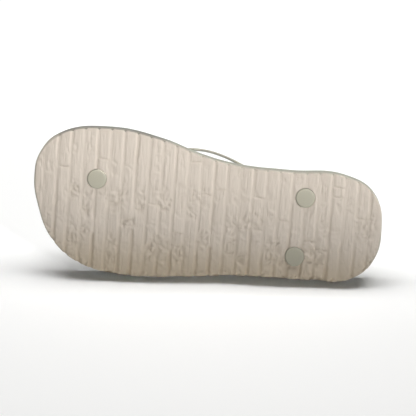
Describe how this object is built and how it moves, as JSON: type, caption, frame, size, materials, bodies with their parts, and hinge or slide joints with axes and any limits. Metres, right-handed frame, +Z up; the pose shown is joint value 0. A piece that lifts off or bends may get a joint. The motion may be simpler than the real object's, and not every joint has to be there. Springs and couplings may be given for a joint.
{
  "type": "thong sandal",
  "caption": "Thong sandal for the right foot, lying on its outer side: sole with boards in relief underneath, slim forked strap held by round plugs.",
  "frame": {"origin": "bottom centre of the bounding box, on the floor that the sandal lies on", "axes": "+X from toe to heel, along the floor; -Y the way the underside of the sole faces; +Z up"},
  "size_m": [0.239, 0.0752, 0.0998],
  "materials": {
    "outsole_rubber": "matt moulded rubber, cream, boards in relief",
    "footbed_foam": "matt closed-cell foam rubber, grey-green, fine grain",
    "strap_pvc": "satin moulded soft PVC, grey-green"
  },
  "bodies": {
    "root": {"outsole": "outsole_rubber", "footbed": "footbed_foam", "strap": "strap_pvc"}
  },
  "joints": []
}
